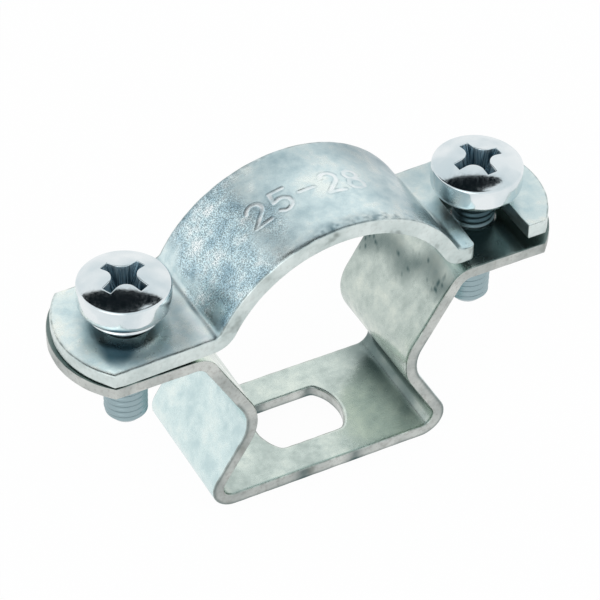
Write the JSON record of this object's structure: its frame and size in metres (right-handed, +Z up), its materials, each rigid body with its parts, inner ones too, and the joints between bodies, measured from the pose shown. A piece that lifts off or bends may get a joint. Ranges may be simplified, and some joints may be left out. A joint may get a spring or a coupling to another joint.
{
  "type": "conduit clip",
  "caption": "Sheet-steel conduit clip: bent V bracket on a slotted foot, arched strap over it, cross-recess screws that draw the strap down; one strap ear has an open slot.",
  "frame": {"origin": "middle of the foot's underside", "axes": "+X along the strap towards the ear with the open slot, +Y along the conduit away from the slot's mouth, +Z up from the foot to the arch"},
  "size_m": [0.0608, 0.016, 0.0363],
  "materials": {
    "bracket_plate": "zinc plate, satin",
    "strap_plate": "zinc plate, satin",
    "screw_plate": "bright zinc plate, polished"
  },
  "bodies": {
    "bracket": {"lower_bracket": "bracket_plate"},
    "left_screw": {"left_screw": "screw_plate"},
    "right_screw": {"right_screw": "screw_plate"},
    "strap": {"upper_strap": "strap_plate"}
  },
  "joints": [
    {"name": "left_screw_travel", "type": "slide", "parent": "bracket", "child": "left_screw", "axis": [0, 0, 1], "range_m": [0, 0.0075]},
    {"name": "right_screw_travel", "type": "slide", "parent": "bracket", "child": "right_screw", "axis": [0, 0, 1], "range_m": [0, 0.0075]},
    {"name": "strap_swing", "type": "hinge", "parent": "left_screw", "child": "strap", "pos_m": [-0.022, 0, 0.0255], "axis": [0, 0, 1], "range_deg": [-1, 340]}
  ],
  "couplings": [
    {"joint": "right_screw_travel", "follows": "left_screw_travel", "ratio": 1}
  ]
}
